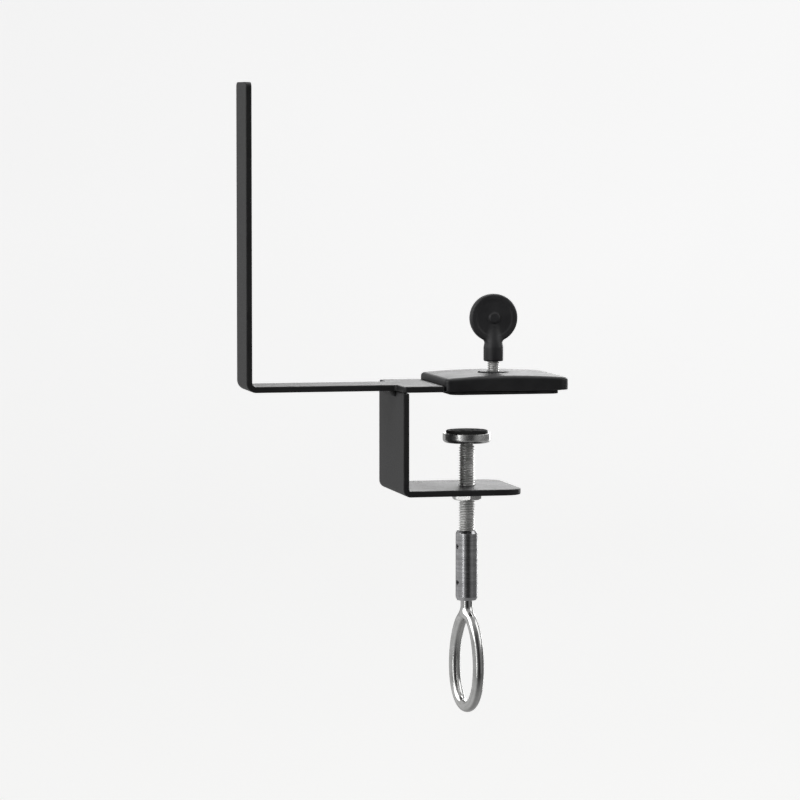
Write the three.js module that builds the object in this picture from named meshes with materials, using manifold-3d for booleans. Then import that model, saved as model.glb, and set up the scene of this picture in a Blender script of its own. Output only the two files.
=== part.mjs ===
// Table tennis net clamp. A bent steel strip is the post, the arm and the upper jaw plate. An angle bracket
// welded under it reaches round the table's edge, and a clamp screw in the bracket presses up under the
// table. A finger screw in the upper jaw lifts the jaw a little to set the net's height.
//
// Millimetres, Z up. The origin lies on the clamp screw's axis, in the face where the upper jaw's pad rests
// on the table. X runs inboard over the table and Y runs along the table's edge.

import * as THREE from 'three';
import { mergeVertices } from 'three/addons/utils/BufferGeometryUtils.js';
import Module from 'manifold-3d';

const wasm = await Module();
wasm.setup();

// Driving dimensions
const GAP = 0.3; // clearance between pieces that touch
const SHEET = 3; // thickness of the steel strip and of the bracket
const EDGE_X = -35.5; // the table's side edge, and the web's inner face
const OVERHANG = 78; // from the table's edge to the post's outer face
const POST_X = EDGE_X - OVERHANG;
const POST_TOP = 153; // top of the post, above the table
const STRIP_WIDTH = 26; // width of the post and the arm
const JAW_WIDTH = 56; // width of both jaws and of the web
const BEND = 2; // inner radius of the strip's bend
const BRACKET_BEND = 0.8; // inner radius of the bracket's bend
const THROAT = 46.5; // from the table's top down to the lower jaw
const LOWER_REACH = 58; // from the table's edge to the lower jaw's inner end
const LOWER_CORNER = 9; // radius of the lower jaw's inner corners

// Upper jaw: a rubber pad, the jaw plate and a moulded cover over the plate
const PAD_HEIGHT = 1.5;
const PLATE_BOTTOM = PAD_HEIGHT + GAP;
const PLATE_TOP = PLATE_BOTTOM + SHEET;
const CAP_START = -17.5;
const CAP_END = 45.5;
const CAP_TOP = 9.5;
const CAP_WALL = 2.2;
const CAP_CROWN = 1.3; // how far the cover's top falls from its middle to its ends
const CAP_FILLET = 2;
const CAP_CORNER = 5;
const CAP_POCKET_TOP = PLATE_TOP + GAP;
const CAP_MIDDLE = (CAP_START + CAP_END) / 2;
const PLATE_END = CAP_END - CAP_WALL - GAP; // the jaw plate's inner end, inside the cover
const PLATE_CORNER = CAP_CORNER - CAP_WALL;
const PAD_INSET = 4; // from the cover's outline to the pad's

// Cover screws, M3 countersunk, put in from below
const CAP_SCREW_X = [-9.5, 37.5];
const CAP_SCREW_Y = [-18.5, 18.5];
const CAP_SCREW = { shank: 1.5, head: 2.9, headHeight: 1.6, chamfer: 0.5, bottom: 2, top: 7.6 };

// Height adjuster, M6
const ADJUSTER_X = 13.5;
const ADJUSTER = { radius: 3, chamfer: 0.6, nutSide: 10, nutHeight: 3 };
const ADJUSTER_FOOT = { radius: 6.5, bottom: 0.2, top: 4.2, chamfer: 0.8 };
// The screw's tip is a bead on a thin neck, which snaps into the foot.
const TIP = { bead: 2.4, neck: 1.8, chamfer: 0.6, bottom: 1.3, top: 2.9 };
// The finger head: an upright disc with a button at its centre, on a round neck that tapers up into the disc.
const HEAD = { centre: 36.5, radius: 12, thickness: 4.6, edge: 1.4, chamfer: 1.2 };
const BUTTON = { radius: 2.6, crownRadius: 1.5, crownHeight: 0.5, height: 0.7 };
const NECK = { radius: 5, bottom: 15, chamfer: 0.6, straight: 22, shoulder: 25, top: 32, bore: 22.5 };

// Clamp screw, M8
const ROD_RADIUS = 4;
const ROD_CHAMFER = 0.8;
const FOOT_TOP = -19; // where the foot's pad meets the underside of the table's board
const FOOT = {
  padRadius: 10.4,
  padChamfer: 0.6,
  cupRadius: 12,
  cupCorner: 2,
  rimBelowPad: 1.5,
  floor: 1.5,
  height: 6.3, // from the pad's face down to the cup's underside
};
const PEENED_END = { neck: 2.6, head: 3.4, height: 1 }; // the rod's top, which holds the cup's floor
const WELD_NUT = { acrossFlats: 13, height: 4, chamfer: 0.8 };
const WELD = { leg: 3.2, length: 22 };
const SLEEVE = { radius: 5.5, top: -69, bottom: -104, split: -86, chamfer: 1.6 };
const SLEEVE_PIN = { radius: 1.25, length: 10.2, chamfer: 0.3, upper: -77, lower: -95 };
const LOOP = { wire: 2.85, width: 28, top: -108.5, bottom: -160.3, stemRadius: 3, stemTop: -88, egg: 0.12 };
const HANDLE_TURN = THREE.MathUtils.degToRad(-71.4); // how the loop stands about the screw's axis

const ROUND = 32; // facets round a turned piece
const DISC_ROUND = 40; // facets round the finger head's disc
const SMALL_ROUND = 20; // facets round a screw, a pin or a button
const ARC = 6; // facets in a quarter of a rounded corner
const BEYOND = 1; // how far a cutting tool runs past the face that it cuts

const MATERIALS = {
  blackSteel: { color: 0x17171a, roughness: 0.45, metalness: 0.5 },
  blackPlastic: { color: 0x0e0e10, roughness: 0.5, metalness: 0 },
  rubber: { color: 0x1b1b1c, roughness: 0.9, metalness: 0 },
  zinc: { color: 0xb4b5b3, roughness: 0.3, metalness: 1 },
  nickel: { color: 0x8b8c8c, roughness: 0.25, metalness: 1 },
};

// Helpers

function toSolid(geometry) {
  const bare = geometry.clone();
  bare.deleteAttribute('normal');
  bare.deleteAttribute('uv');
  const merged = mergeVertices(bare, 1e-4);
  const vertProperties = new Float32Array(merged.attributes.position.array);
  const triVerts = new Uint32Array(merged.index.array);
  return new wasm.Manifold(new wasm.Mesh({ numProp: 3, vertProperties, triVerts }));
}

function toGeometry(solid) {
  const mesh = solid.getMesh();
  const geometry = new THREE.BufferGeometry();
  geometry.setAttribute('position', new THREE.BufferAttribute(new Float32Array(mesh.vertProperties), 3));
  geometry.setIndex(new THREE.BufferAttribute(new Uint32Array(mesh.triVerts), 1));
  geometry.computeVertexNormals();
  return geometry;
}

function join(...geometries) {
  return toGeometry(geometries.map(toSolid).reduce((all, next) => all.add(next)));
}

function cut(base, ...tools) {
  return toGeometry(tools.map(toSolid).reduce((left, tool) => left.subtract(tool), toSolid(base)));
}

function common(first, second) {
  return toGeometry(toSolid(first).intersect(toSolid(second)));
}

// A body turned about Z from [radius, z] points that start and end on the axis.
function turned(points, facets = ROUND) {
  const profile = points.map(([radius, z]) => new THREE.Vector2(radius, z));
  return new THREE.LatheGeometry(profile, facets).rotateX(Math.PI / 2);
}

function cylinder(radius, bottom, top, facets = ROUND) {
  return turned([[0, bottom], [radius, bottom], [radius, top], [0, top]], facets);
}

// A hole that clears a shaft of the given radius.
function clearanceHole(radius, bottom, top) {
  return cylinder(radius + GAP, bottom - BEYOND, top + BEYOND);
}

function box(x0, x1, y0, y1, z0, z1) {
  const geometry = new THREE.BoxGeometry(x1 - x0, y1 - y0, z1 - z0);
  return geometry.translate((x0 + x1) / 2, (y0 + y1) / 2, (z0 + z1) / 2);
}

// A level plate from an outline in X and Y.
function plate(shape, bottom, thickness) {
  const options = { depth: thickness, bevelEnabled: false, curveSegments: ARC };
  return new THREE.ExtrudeGeometry(shape, options).translate(0, 0, bottom);
}

// A body of constant section along Y, from an outline in X and Z.
function alongY(shape, width) {
  const options = { depth: width, bevelEnabled: false, curveSegments: ARC };
  return new THREE.ExtrudeGeometry(shape, options).rotateX(Math.PI / 2).translate(0, width / 2, 0);
}

// A rectangle whose corners are rounded, with one radius at its low-X end and one at its high-X end.
function roundedRectangle(x0, x1, halfWidth, lowRadius, highRadius) {
  const shape = new THREE.Shape();
  shape.moveTo(x0 + lowRadius, -halfWidth);
  shape.lineTo(x1 - highRadius, -halfWidth);
  shape.absarc(x1 - highRadius, -halfWidth + highRadius, highRadius, -Math.PI / 2, 0, false);
  shape.absarc(x1 - highRadius, halfWidth - highRadius, highRadius, 0, Math.PI / 2, false);
  shape.absarc(x0 + lowRadius, halfWidth - lowRadius, lowRadius, Math.PI / 2, Math.PI, false);
  shape.absarc(x0 + lowRadius, -halfWidth + lowRadius, lowRadius, Math.PI, Math.PI * 1.5, false);
  return shape;
}

// Upper frame

function capScrewPlaces() {
  return CAP_SCREW_X.flatMap((x) => CAP_SCREW_Y.map((y) => [x, y]));
}

// The strip's section in X and Z: up the post's outer face, down its inner face and inboard along the arm.
function stripSection() {
  const outer = BEND + SHEET;
  const shape = new THREE.Shape();
  shape.moveTo(PLATE_END, PLATE_BOTTOM);
  shape.lineTo(PLATE_END, PLATE_TOP);
  shape.lineTo(POST_X + outer, PLATE_TOP);
  shape.absarc(POST_X + outer, PLATE_TOP + BEND, BEND, Math.PI * 1.5, Math.PI, true);
  shape.lineTo(POST_X + SHEET, POST_TOP);
  shape.lineTo(POST_X, POST_TOP);
  shape.lineTo(POST_X, PLATE_BOTTOM + outer);
  shape.absarc(POST_X + outer, PLATE_BOTTOM + outer, outer, Math.PI, Math.PI * 1.5, false);
  return shape;
}

// The strip seen from above: the narrow post and arm, the full-width shoulders over the bracket's web, and
// a tongue that is narrower by the cover's walls.
function stripOutline() {
  const arm = STRIP_WIDTH / 2;
  const shoulder = JAW_WIDTH / 2;
  const tongue = shoulder - CAP_WALL - GAP;
  const shoulderX = EDGE_X - SHEET;
  const tongueX = CAP_START - GAP;
  const cornerX = PLATE_END - PLATE_CORNER;
  const cornerY = tongue - PLATE_CORNER;
  const shape = new THREE.Shape();
  shape.moveTo(POST_X - BEYOND, -arm);
  shape.lineTo(shoulderX, -arm);
  shape.lineTo(shoulderX, -shoulder);
  shape.lineTo(tongueX, -shoulder);
  shape.lineTo(tongueX, -tongue);
  shape.lineTo(cornerX, -tongue);
  shape.absarc(cornerX, -cornerY, PLATE_CORNER, -Math.PI / 2, 0, false);
  shape.absarc(cornerX, cornerY, PLATE_CORNER, 0, Math.PI / 2, false);
  shape.lineTo(tongueX, tongue);
  shape.lineTo(tongueX, shoulder);
  shape.lineTo(shoulderX, shoulder);
  shape.lineTo(shoulderX, arm);
  shape.lineTo(POST_X - BEYOND, arm);
  return shape;
}

function postArmPlate() {
  const wide = alongY(stripSection(), JAW_WIDTH + 2 * BEYOND);
  const strip = common(wide, plate(stripOutline(), PLATE_BOTTOM - BEYOND, POST_TOP));
  const footHole = clearanceHole(ADJUSTER_FOOT.radius + GAP, PLATE_BOTTOM, PLATE_TOP);
  const screwHoles = capScrewPlaces().map(([x, y]) => countersink().translate(x, y, 0));
  return cut(strip, footHole.translate(ADJUSTER_X, 0, 0), ...screwHoles);
}

function countersink() {
  const { shank, head, headHeight, bottom } = CAP_SCREW;
  const below = PLATE_BOTTOM - BEYOND;
  const above = PLATE_TOP + BEYOND;
  return turned([
    [0, below],
    [head + GAP, below],
    [head + GAP, bottom + GAP],
    [shank + GAP, bottom + headHeight + GAP],
    [shank + GAP, above],
    [0, above],
  ]);
}

function capScrew() {
  const { shank, head, headHeight, chamfer, bottom, top } = CAP_SCREW;
  return turned([
    [0, bottom],
    [head, bottom],
    [shank, bottom + headHeight],
    [shank, top - chamfer],
    [shank - chamfer, top],
    [0, top],
  ], SMALL_ROUND);
}

// The cover: an outline with a rounded top edge, trimmed to a gentle arch, hollowed for the jaw plate.
function jawCap() {
  const outline = roundedRectangle(CAP_START, CAP_END, JAW_WIDTH / 2, CAP_CORNER / 2, CAP_CORNER);
  const blank = new THREE.ExtrudeGeometry(outline, {
    depth: CAP_TOP,
    bevelThickness: CAP_FILLET,
    bevelSize: CAP_FILLET,
    bevelOffset: -CAP_FILLET,
    bevelSegments: 4,
    curveSegments: ARC,
  });
  blank.translate(0, 0, -CAP_FILLET);
  const bottom = PLATE_BOTTOM + GAP;
  const start = CAP_START - BEYOND;
  const end = CAP_END + BEYOND;
  const arch = new THREE.Shape();
  arch.moveTo(start, bottom);
  arch.lineTo(end, bottom);
  arch.lineTo(end, CAP_TOP - CAP_CROWN);
  arch.quadraticCurveTo(CAP_MIDDLE, CAP_TOP + CAP_CROWN, start, CAP_TOP - CAP_CROWN);
  const cover = common(blank, alongY(arch, JAW_WIDTH + 2 * BEYOND));

  const pocketEnd = CAP_END - CAP_WALL;
  const pocketOutline = roundedRectangle(start, pocketEnd, JAW_WIDTH / 2 - CAP_WALL, 0, PLATE_CORNER);
  const pocketBottom = PLATE_BOTTOM - BEYOND;
  const platePocket = plate(pocketOutline, pocketBottom, CAP_POCKET_TOP - pocketBottom);
  const half = ADJUSTER.nutSide / 2 + GAP;
  const nutTop = CAP_POCKET_TOP + ADJUSTER.nutHeight + GAP;
  const nutPocket = box(ADJUSTER_X - half, ADJUSTER_X + half, -half, half, PLATE_TOP, nutTop);
  const rodHole = clearanceHole(ADJUSTER.radius, PLATE_TOP, CAP_TOP).translate(ADJUSTER_X, 0, 0);
  const screwHoles = capScrewPlaces().map(([x, y]) =>
    cylinder(CAP_SCREW.shank + GAP, PLATE_TOP, CAP_SCREW.top + GAP, SMALL_ROUND).translate(x, y, 0));
  return cut(cover, platePocket, nutPocket, rodHole, ...screwHoles);
}

function jawPad() {
  const start = CAP_START + PAD_INSET;
  const end = CAP_END - PAD_INSET;
  const outline = roundedRectangle(start, end, JAW_WIDTH / 2 - PAD_INSET, CAP_CORNER, CAP_CORNER);
  const footHole = clearanceHole(ADJUSTER_FOOT.radius + 1, 0, PAD_HEIGHT).translate(ADJUSTER_X, 0, 0);
  const screwHoles = capScrewPlaces().map(([x, y]) =>
    clearanceHole(CAP_SCREW.head + GAP, 0, PAD_HEIGHT).translate(x, y, 0));
  return cut(plate(outline, 0, PAD_HEIGHT), footHole, ...screwHoles);
}

function adjusterNut() {
  const half = ADJUSTER.nutSide / 2;
  const bottom = CAP_POCKET_TOP;
  const top = bottom + ADJUSTER.nutHeight;
  const hole = clearanceHole(ADJUSTER.radius, bottom, top).translate(ADJUSTER_X, 0, 0);
  return cut(box(ADJUSTER_X - half, ADJUSTER_X + half, -half, half, bottom, top), hole);
}

// Bracket

// The angle's section in X and Z: the web down the table's edge and the lower jaw under the table.
function bracketSection() {
  const webOuter = EDGE_X - SHEET;
  const jawBottom = -THROAT - SHEET;
  const bendX = EDGE_X + BRACKET_BEND;
  const bendZ = -THROAT + BRACKET_BEND;
  const shape = new THREE.Shape();
  shape.moveTo(EDGE_X, PLATE_BOTTOM - GAP);
  shape.lineTo(webOuter, PLATE_BOTTOM - GAP);
  shape.absarc(bendX, bendZ, BRACKET_BEND + SHEET, Math.PI, Math.PI * 1.5, false);
  shape.lineTo(EDGE_X + LOWER_REACH, jawBottom);
  shape.lineTo(EDGE_X + LOWER_REACH, -THROAT);
  shape.absarc(bendX, bendZ, BRACKET_BEND, Math.PI * 1.5, Math.PI, true);
  return shape;
}

function jawBracket() {
  const angle = alongY(bracketSection(), JAW_WIDTH);
  const start = EDGE_X - SHEET - BEYOND;
  const end = EDGE_X + LOWER_REACH;
  const outline = roundedRectangle(start, end, JAW_WIDTH / 2, 0, LOWER_CORNER);
  const bottom = -THROAT - SHEET;
  const rounded = common(angle, plate(outline, bottom - BEYOND, PLATE_TOP - bottom));
  return cut(rounded, clearanceHole(ROD_RADIUS, bottom, -THROAT));
}

// A fillet weld in the corner between the web's outer face and the arm's underside.
function webWeldBead() {
  const x = EDGE_X - SHEET - GAP;
  const z = PLATE_BOTTOM - GAP;
  const sag = WELD.leg * 0.55; // the weld's face bulges past the straight line between its toes
  const shape = new THREE.Shape();
  shape.moveTo(x, z);
  shape.lineTo(x - WELD.leg, z);
  shape.quadraticCurveTo(x - sag, z - sag, x, z - WELD.leg);
  return alongY(shape, WELD.length);
}

function weldNut() {
  const top = -THROAT - SHEET - GAP;
  const bottom = top - WELD_NUT.height;
  const cornerRadius = WELD_NUT.acrossFlats / 2 / Math.cos(Math.PI / 6);
  const blank = cylinder(cornerRadius, bottom, top, 6);
  const chamfered = common(blank, turned([
    [0, bottom],
    [WELD_NUT.acrossFlats / 2, bottom],
    [cornerRadius + GAP, bottom + WELD_NUT.chamfer],
    [cornerRadius + GAP, top],
    [0, top],
  ]));
  return cut(chamfered, clearanceHole(ROD_RADIUS, bottom, top));
}

// Height adjuster

function adjusterRod() {
  const { radius, chamfer } = ADJUSTER;
  const shoulder = ADJUSTER_FOOT.top + GAP;
  return turned([
    [0, TIP.bottom],
    [TIP.neck, TIP.bottom],
    [TIP.bead, TIP.bottom + TIP.chamfer],
    [TIP.bead, TIP.top - TIP.chamfer],
    [TIP.neck, TIP.top],
    [TIP.neck, shoulder],
    [radius - chamfer, shoulder],
    [radius, shoulder + chamfer],
    [radius, NECK.bore],
    [0, NECK.bore],
  ]).translate(ADJUSTER_X, 0, 0);
}

function adjusterFoot() {
  const { radius, bottom, top, chamfer } = ADJUSTER_FOOT;
  const neck = TIP.neck + GAP;
  const bead = TIP.bead + GAP;
  return turned([
    [0, bottom],
    [radius - chamfer, bottom],
    [radius, bottom + chamfer],
    [radius, top - chamfer],
    [radius - chamfer, top],
    [neck, top],
    [neck, TIP.top + GAP],
    [bead, TIP.top],
    [bead, TIP.bottom - GAP],
    [0, TIP.bottom - GAP],
  ]).translate(ADJUSTER_X, 0, 0);
}

// A round piece whose axis lies along Y, at the finger head's height, from one face's [radius, y] points.
function upright(points, facets) {
  const otherFace = points.map(([radius, y]) => [radius, -y]).reverse();
  return turned([...otherFace, ...points], facets).rotateX(Math.PI / 2).translate(0, 0, HEAD.centre);
}

function adjusterHead() {
  const face = HEAD.thickness / 2;
  const disc = upright([
    [HEAD.radius, face - HEAD.chamfer],
    [HEAD.radius - HEAD.edge, face],
    [0, face],
  ], DISC_ROUND);
  const button = upright([
    [BUTTON.radius, face],
    [BUTTON.crownRadius, face + BUTTON.crownHeight],
    [0, face + BUTTON.height],
  ], SMALL_ROUND);
  const neck = turned([
    [0, NECK.bottom],
    [NECK.radius - NECK.chamfer, NECK.bottom],
    [NECK.radius, NECK.bottom + NECK.chamfer],
    [NECK.radius, NECK.straight],
    [NECK.radius - NECK.chamfer, NECK.shoulder],
    [face, NECK.top],
    [0, NECK.top],
  ]);
  const bore = cylinder(ADJUSTER.radius + GAP, NECK.bottom - BEYOND, NECK.bore + GAP);
  return cut(join(disc, button, neck), bore).translate(ADJUSTER_X, 0, 0);
}

// Clamp screw and foot

// The rod's top is turned down to pass through the cup's floor, and its end is peened over inside.
function clampRod() {
  const { neck, head, height } = PEENED_END;
  const cupBottom = FOOT_TOP - FOOT.height;
  const shoulder = cupBottom - GAP;
  const headBottom = cupBottom + FOOT.floor + GAP;
  const bottom = SLEEVE.split + GAP;
  const rod = turned([
    [0, bottom],
    [ROD_RADIUS - ROD_CHAMFER, bottom],
    [ROD_RADIUS, bottom + ROD_CHAMFER],
    [ROD_RADIUS, shoulder - ROD_CHAMFER],
    [ROD_RADIUS - ROD_CHAMFER, shoulder],
    [neck, shoulder],
    [neck, headBottom],
    [head, headBottom],
    [neck, headBottom + height],
    [0, headBottom + height],
  ]);
  return cut(rod, pinHole(SLEEVE_PIN.upper));
}

function pinHole(z) {
  const half = SLEEVE.radius + BEYOND;
  const hole = cylinder(SLEEVE_PIN.radius + GAP, -half, half, SMALL_ROUND);
  return hole.rotateX(Math.PI / 2).translate(0, 0, z);
}

function sleevePin(z) {
  const { radius, length, chamfer } = SLEEVE_PIN;
  const half = length / 2;
  return turned([
    [0, -half],
    [radius - chamfer, -half],
    [radius, -half + chamfer],
    [radius, half - chamfer],
    [radius - chamfer, half],
    [0, half],
  ], SMALL_ROUND).rotateX(Math.PI / 2).translate(0, 0, z);
}

function footCup() {
  const { cupRadius, cupCorner, padRadius, rimBelowPad, floor, height } = FOOT;
  const bottom = FOOT_TOP - height;
  const rim = FOOT_TOP - rimBelowPad;
  const wallInner = padRadius + GAP;
  const hole = PEENED_END.neck + GAP;
  return turned([
    [hole, bottom],
    [cupRadius - cupCorner, bottom],
    [cupRadius, bottom + cupCorner],
    [cupRadius, rim],
    [wallInner, rim],
    [wallInner, bottom + floor],
    [hole, bottom + floor],
    [hole, bottom],
  ]);
}

// The pad has a recess below for the rod's peened end.
function footPad() {
  const { padRadius, padChamfer, floor, height } = FOOT;
  const bottom = FOOT_TOP - height + floor + GAP;
  const recessTop = bottom + PEENED_END.height + 2 * GAP;
  const recessRadius = PEENED_END.head + GAP;
  return turned([
    [0, recessTop],
    [recessRadius, recessTop],
    [recessRadius, bottom],
    [padRadius, bottom],
    [padRadius, FOOT_TOP - padChamfer],
    [padRadius - padChamfer, FOOT_TOP],
    [0, FOOT_TOP],
  ]);
}

function couplingSleeve() {
  const { radius, top, bottom, split, chamfer } = SLEEVE;
  const rodBore = ROD_RADIUS + GAP;
  const stemBore = LOOP.stemRadius + GAP;
  const tube = turned([
    [stemBore, bottom],
    [radius - chamfer / 2, bottom],
    [radius, bottom + chamfer],
    [radius, top - chamfer],
    [radius - chamfer / 2, top],
    [rodBore, top],
    [rodBore, split],
    [stemBore, split],
    [stemBore, bottom],
  ]);
  return cut(tube, pinHole(SLEEVE_PIN.upper), pinHole(SLEEVE_PIN.lower));
}

// A ring of round wire bent to an egg shape in the X and Z plane, fuller below than above.
function eggRing() {
  const sides = 12; // facets round the wire
  const steps = 44; // facets along it
  const halfWidth = LOOP.width / 2 - LOOP.wire;
  const halfHeight = (LOOP.top - LOOP.bottom) / 2 - LOOP.wire;
  const middle = (LOOP.top + LOOP.bottom) / 2;
  const centreline = (turn) => new THREE.Vector3(
    halfWidth * Math.cos(turn) * (1 - LOOP.egg * Math.sin(turn)),
    0,
    halfHeight * Math.sin(turn),
  );
  const ring = new THREE.TorusGeometry(1, 0.5, sides, steps).rotateX(Math.PI / 2);
  const position = ring.attributes.position;
  const step = 0.001;
  for (let index = 0; index < position.count; index += 1) {
    const turn = (index % (steps + 1)) / steps * Math.PI * 2;
    const side = Math.floor(index / (steps + 1)) / sides * Math.PI * 2;
    const tangent = centreline(turn + step).sub(centreline(turn - step)).normalize();
    const outward = new THREE.Vector3(tangent.z, 0, -tangent.x);
    const point = centreline(turn).addScaledVector(outward, LOOP.wire * Math.cos(side));
    position.setXYZ(index, point.x, -LOOP.wire * Math.sin(side), point.z + middle);
  }
  return ring;
}

function loopHandle() {
  const { stemRadius, stemTop } = LOOP;
  const stemBottom = LOOP.top - LOOP.wire;
  const stem = turned([
    [0, stemBottom],
    [stemRadius, stemBottom],
    [stemRadius, stemTop - ROD_CHAMFER],
    [stemRadius - ROD_CHAMFER, stemTop],
    [0, stemTop],
  ]);
  return cut(join(eggRing(), stem), pinHole(SLEEVE_PIN.lower));
}

// Assembly

function piece(name, geometry, look) {
  const mesh = new THREE.Mesh(geometry, new THREE.MeshStandardMaterial(MATERIALS[look]));
  mesh.name = name;
  return mesh;
}

const frame = new THREE.Group();
frame.add(piece('post_arm_plate', postArmPlate(), 'blackSteel'));
frame.add(piece('jaw_bracket', jawBracket(), 'blackSteel'));
frame.add(piece('web_weld_bead', webWeldBead(), 'blackSteel'));
frame.add(piece('weld_nut', weldNut(), 'zinc'));
frame.add(piece('jaw_cap', jawCap(), 'blackPlastic'));
frame.add(piece('jaw_pad', jawPad(), 'rubber'));
frame.add(piece('adjuster_nut', adjusterNut(), 'zinc'));
capScrewPlaces().forEach(([x, y], index) => {
  const screw = piece(`cap_screw_${index + 1}`, capScrew(), 'zinc');
  screw.position.set(x, y, 0);
  frame.add(screw);
});

const adjuster = new THREE.Group();
adjuster.add(piece('adjuster_foot', adjusterFoot(), 'blackPlastic'));
adjuster.add(piece('adjuster_rod', adjusterRod(), 'zinc'));
adjuster.add(piece('adjuster_head', adjusterHead(), 'blackPlastic'));

const foot = new THREE.Group();
foot.add(piece('foot_cup', footCup(), 'zinc'));
foot.add(piece('foot_pad', footPad(), 'rubber'));

const clampScrew = new THREE.Group();
clampScrew.rotation.z = HANDLE_TURN;
clampScrew.add(piece('clamp_rod', clampRod(), 'zinc'));
clampScrew.add(piece('coupling_sleeve', couplingSleeve(), 'nickel'));
clampScrew.add(piece('sleeve_pin_upper', sleevePin(SLEEVE_PIN.upper), 'nickel'));
clampScrew.add(piece('sleeve_pin_lower', sleevePin(SLEEVE_PIN.lower), 'nickel'));
clampScrew.add(piece('loop_handle', loopHandle(), 'zinc'));

const group = new THREE.Group();
group.add(frame, adjuster, foot, clampScrew);

export default group;
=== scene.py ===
"""Looks for the table tennis net clamp: detailed pieces, materials, light and camera.

Shapes are built in millimetres in the frame's own axes and scaled to metres at the end. Places and sizes
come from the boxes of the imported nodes.
"""

import math

import bmesh
import bpy
import numpy as np
from mathutils import Matrix, Vector
from mathutils.geometry import tessellate_polygon

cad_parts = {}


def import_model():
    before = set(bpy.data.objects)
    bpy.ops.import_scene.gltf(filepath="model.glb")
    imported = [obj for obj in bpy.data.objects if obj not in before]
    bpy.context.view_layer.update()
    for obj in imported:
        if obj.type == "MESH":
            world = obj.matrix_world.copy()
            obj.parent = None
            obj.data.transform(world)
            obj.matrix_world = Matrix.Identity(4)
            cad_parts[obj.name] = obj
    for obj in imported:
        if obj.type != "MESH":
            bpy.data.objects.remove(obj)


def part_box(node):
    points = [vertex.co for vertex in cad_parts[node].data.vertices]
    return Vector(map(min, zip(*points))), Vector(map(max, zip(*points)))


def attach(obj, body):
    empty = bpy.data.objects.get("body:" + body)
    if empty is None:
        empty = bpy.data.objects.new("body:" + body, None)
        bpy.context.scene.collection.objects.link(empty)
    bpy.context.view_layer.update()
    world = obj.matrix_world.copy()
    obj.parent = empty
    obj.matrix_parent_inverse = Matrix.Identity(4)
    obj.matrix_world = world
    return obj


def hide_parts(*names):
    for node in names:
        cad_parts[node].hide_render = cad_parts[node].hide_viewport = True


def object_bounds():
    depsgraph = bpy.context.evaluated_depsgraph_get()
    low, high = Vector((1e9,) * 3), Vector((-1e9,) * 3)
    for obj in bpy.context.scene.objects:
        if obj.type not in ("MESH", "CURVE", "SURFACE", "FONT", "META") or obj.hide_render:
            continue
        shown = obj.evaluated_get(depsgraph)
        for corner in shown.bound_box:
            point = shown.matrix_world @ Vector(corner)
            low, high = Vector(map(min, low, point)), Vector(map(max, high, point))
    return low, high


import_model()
cad_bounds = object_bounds()
scene = bpy.context.scene

MM = 0.001
TAU = math.tau
HANDLE_TURN = math.radians(-71.4)  # how the loop stands about the screw's axis


def box(node):
    """A CAD node's lowest and highest corners, in millimetres."""
    low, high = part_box(node)
    return low / MM, high / MM


# The frame's own sizes
STRIP_LOW, STRIP_HIGH = box("post_arm_plate")
BRACKET_LOW, BRACKET_HIGH = box("jaw_bracket")
WELD_LOW, WELD_HIGH = box("web_weld_bead")
CAP_LOW, CAP_HIGH = box("jaw_cap")
PAD_LOW, PAD_HIGH = box("jaw_pad")
NUT_LOW, NUT_HIGH = box("weld_nut")
ADJUSTER_FOOT_LOW, ADJUSTER_FOOT_HIGH = box("adjuster_foot")
ADJUSTER_ROD_LOW, ADJUSTER_ROD_HIGH = box("adjuster_rod")
HEAD_LOW, HEAD_HIGH = box("adjuster_head")
CUP_LOW, CUP_HIGH = box("foot_cup")
FOOT_PAD_LOW, FOOT_PAD_HIGH = box("foot_pad")
ROD_LOW, ROD_HIGH = box("clamp_rod")
SLEEVE_LOW, SLEEVE_HIGH = box("coupling_sleeve")
LOOP_LOW, LOOP_HIGH = box("loop_handle")

SHEET = 3.0
STRIP_WIDTH = 26.0
STRIP_BEND = 2.0
BRACKET_BEND = 0.8
EDGE_ROUNDING = 0.5
HEX_NUT_FLAT = 6.5  # from the nut's axis to a flat
SQUARE_NUT_FLAT = 5.0
NUT_CLEARANCE = 0.15

# Threads, as (outer radius, pitch)
M8 = (4.0, 1.25)
M6 = (3.0, 1.0)
M3 = (1.5, 0.5)
THREAD_DEPTH = 0.6  # of the pitch

PLATE_BOTTOM = STRIP_LOW.z
PLATE_TOP = PLATE_BOTTOM + SHEET
ADJUSTER_X = (ADJUSTER_FOOT_LOW.x + ADJUSTER_FOOT_HIGH.x) / 2


# Shape helpers


def circle(radius, centre=(0, 0), count=64, clockwise=False):
    """Points round a circle."""
    way = -1 if clockwise else 1
    turns = [way * TAU * index / count for index in range(count)]
    return [Vector((centre[0] + radius * math.cos(a), centre[1] + radius * math.sin(a))) for a in turns]


def rounded(corners, steps=6):
    """An outline from (x, y, radius) corners, each rounded by an arc."""
    points = []
    for index, (x, y, radius) in enumerate(corners):
        here = Vector((x, y))
        if radius == 0:
            points.append(here)
            continue
        back = (Vector(corners[index - 1][:2]) - here).normalized()
        ahead = (Vector(corners[(index + 1) % len(corners)][:2]) - here).normalized()
        half = back.angle(ahead) / 2
        centre = here + (back + ahead).normalized() * (radius / math.sin(half))
        start = here + back * (radius / math.tan(half)) - centre
        end = here + ahead * (radius / math.tan(half)) - centre
        for step in range(steps + 1):
            share = step / steps
            points.append(centre + start.lerp(end, share).normalized() * radius)
    return points


def offset(outline, distance):
    """The outline moved to its left by a distance, mitred at its corners."""
    moved = []
    for index, here in enumerate(outline):
        before = (here - outline[index - 1]).normalized()
        after = (outline[(index + 1) % len(outline)] - here).normalized()
        left = Vector((-before.y, before.x))
        normal = (left + Vector((-after.y, after.x))).normalized()
        moved.append(here + normal * (distance / max(0.5, normal.dot(left))))
    return moved


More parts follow.
